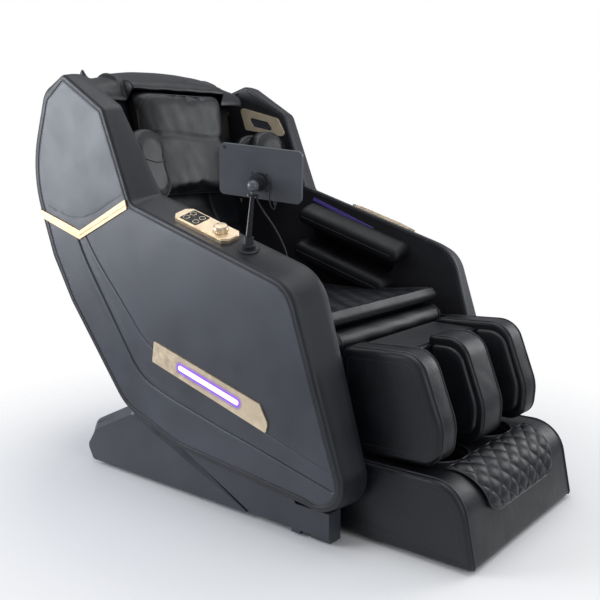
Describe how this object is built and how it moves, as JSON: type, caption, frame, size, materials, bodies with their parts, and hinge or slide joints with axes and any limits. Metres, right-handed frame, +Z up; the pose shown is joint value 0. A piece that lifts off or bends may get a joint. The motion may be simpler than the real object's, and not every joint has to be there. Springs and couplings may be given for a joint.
{
  "type": "massage chair",
  "caption": "Reclining leather massage chair with side shells, calf and foot rest, control panel, tablet stand and a massage carriage behind the backrest.",
  "frame": {"origin": "the point on the floor midway between the two side shells, on the line below the recline pivot", "axes": "+Z up; the front of the chair, where the sitter's feet go, faces -Y; +X is the sitter's left side"},
  "size_m": [0.769, 1.3146, 1.0958],
  "materials": {
    "black_leather": "smooth black leather with a fine grain",
    "side_leather": "satin blue-black leather",
    "gold_trim": "champagne gold satin",
    "black_plastic": "matt black",
    "fairing_plastic": "satin blue-black",
    "frame_steel": "black powder coat",
    "bright_steel": "turned steel",
    "dark_metal": "dark grey",
    "rubber": "matt",
    "light_diffuser": "lit violet-white diffuser",
    "screen_glass": "black glass",
    "roller_plastic": "satin amber"
  },
  "bodies": {
    "base": {"base_frame": "frame_steel", "base_pins": "bright_steel", "rear_fairing": "fairing_plastic", "side_skirts": "fairing_plastic", "base_feet": "rubber", "power_box": "black_plastic"},
    "wheel_left": {"transport_wheel_left": "rubber"},
    "wheel_right": {"transport_wheel_right": "rubber"},
    "actuator": {"recline_actuator": "black_plastic"},
    "actuator_rod": {"recline_rod": "bright_steel"},
    "capsule": {"seat_frame": "frame_steel", "massage_track": "frame_steel", "side_shell_left": "side_leather", "side_shell_right": "side_leather", "arm_liner_left": "black_plastic", "arm_liner_right": "black_plastic", "upper_arm_pads": "black_leather", "lower_arm_pads": "black_leather", "shoulder_pads_front": "black_leather", "shoulder_pads_rear": "black_leather", "v_strips": "gold_trim", "side_ornaments": "gold_trim", "light_bars": "light_diffuser", "speaker_trims": "gold_trim", "speaker_grilles": "dark_metal", "waist_trims": "gold_trim", "control_panel": "gold_trim", "palm_plate": "gold_trim", "stand_base": "black_plastic", "back_cushion": "black_leather", "head_pillow": "black_leather", "top_cover": "black_leather", "rear_cover": "black_plastic", "seat_cushion": "black_leather", "seat_roll": "black_leather", "air_pump": "black_plastic", "lead_grommet": "black_plastic", "tablet_lead": "black_plastic"},
    "knob": {"control_knob": "gold_trim"},
    "power_key": {"button_power": "black_plastic"},
    "pause_key": {"button_pause": "black_plastic"},
    "auto_key": {"button_auto": "black_plastic"},
    "air_key": {"button_air": "black_plastic"},
    "stand": {"stand_stem": "dark_metal"},
    "tablet": {"tablet_clamp": "black_plastic", "tablet_body": "dark_metal", "tablet_screen": "screen_glass", "plug_lead": "black_plastic", "lead_plug": "black_plastic"},
    "carriage": {"massage_carriage": "dark_metal"},
    "massage_head": {"massage_arms": "dark_metal", "massage_rollers": "roller_plastic"},
    "calf_rest": {"calf_frame": "black_plastic", "calf_ridges": "black_leather", "calf_linings": "black_leather"},
    "foot_rest": {"foot_block": "black_leather", "foot_rods": "bright_steel", "foot_quilt": "black_leather", "foot_linings": "black_leather"}
  },
  "joints": [
    {"name": "recline", "type": "hinge", "parent": "base", "child": "capsule", "pos_m": [0, 0, 0.255], "axis": [-1, 0, 0], "range_deg": [0, 30]},
    {"name": "actuator_pivot", "type": "hinge", "parent": "base", "child": "actuator", "pos_m": [0, -0.24, 0.095], "axis": [-1, 0, 0], "range_deg": [0, 6.65]},
    {"name": "actuator_stroke", "type": "slide", "parent": "actuator", "child": "actuator_rod", "axis": [0, 0.3328, 0.943], "range_m": [0, 0.086]},
    {"name": "calf_lift", "type": "hinge", "parent": "capsule", "child": "calf_rest", "pos_m": [0, -0.262, 0.43], "axis": [-1, 0, 0], "range_deg": [0, 70]},
    {"name": "foot_extend", "type": "slide", "parent": "calf_rest", "child": "foot_rest", "axis": [0, 0, -1], "range_m": [0, 0.12]},
    {"name": "carriage_travel", "type": "slide", "parent": "capsule", "child": "carriage", "axis": [0, 0.1961, 0.9806], "range_m": [0, 0.2]},
    {"name": "massage_rock", "type": "hinge", "parent": "carriage", "child": "massage_head", "pos_m": [0, 0.53219, 0.6578], "axis": [1, 0, 0], "range_deg": [-6, 6]},
    {"name": "wheel_left_spin", "type": "hinge", "parent": "base", "child": "wheel_left", "pos_m": [0.2, 0.452, 0.035], "axis": [1, 0, 0], "continuous": true},
    {"name": "wheel_right_spin", "type": "hinge", "parent": "base", "child": "wheel_right", "pos_m": [-0.2, 0.452, 0.035], "axis": [1, 0, 0], "continuous": true},
    {"name": "knob_turn", "type": "hinge", "parent": "capsule", "child": "knob", "pos_m": [-0.33439, -0.01865, 0.68648], "axis": [-0.3085, -0.2771, 0.91], "range_deg": [-150, 150]},
    {"name": "stand_swivel", "type": "hinge", "parent": "capsule", "child": "stand", "pos_m": [-0.332, -0.1, 0.65043], "axis": [0, -0.1305, 0.9914], "range_deg": [-35, 35]},
    {"name": "tablet_tilt", "type": "hinge", "parent": "stand", "child": "tablet", "pos_m": [-0.332, -0.1188, 0.7932], "axis": [0.2588, -0.9659, 0], "range_deg": [-15, 15]},
    {"name": "power_press", "type": "slide", "parent": "capsule", "child": "power_key", "axis": [0.3085, 0.2771, -0.91], "range_m": [0, 0.001], "stiffness_N_per_m": 400, "springref_m": -0.0005},
    {"name": "pause_press", "type": "slide", "parent": "capsule", "child": "pause_key", "axis": [0.3085, 0.2771, -0.91], "range_m": [0, 0.001], "stiffness_N_per_m": 400, "springref_m": -0.0005},
    {"name": "auto_press", "type": "slide", "parent": "capsule", "child": "auto_key", "axis": [0.3085, 0.2771, -0.91], "range_m": [0, 0.001], "stiffness_N_per_m": 400, "springref_m": -0.0005},
    {"name": "air_press", "type": "slide", "parent": "capsule", "child": "air_key", "axis": [0.3085, 0.2771, -0.91], "range_m": [0, 0.001], "stiffness_N_per_m": 400, "springref_m": -0.0005}
  ],
  "couplings": [
    {"joint": "actuator_pivot", "follows": "recline", "ratio": 0.2204},
    {"joint": "actuator_stroke", "follows": "recline", "m_per_rad": 0.1627}
  ]
}
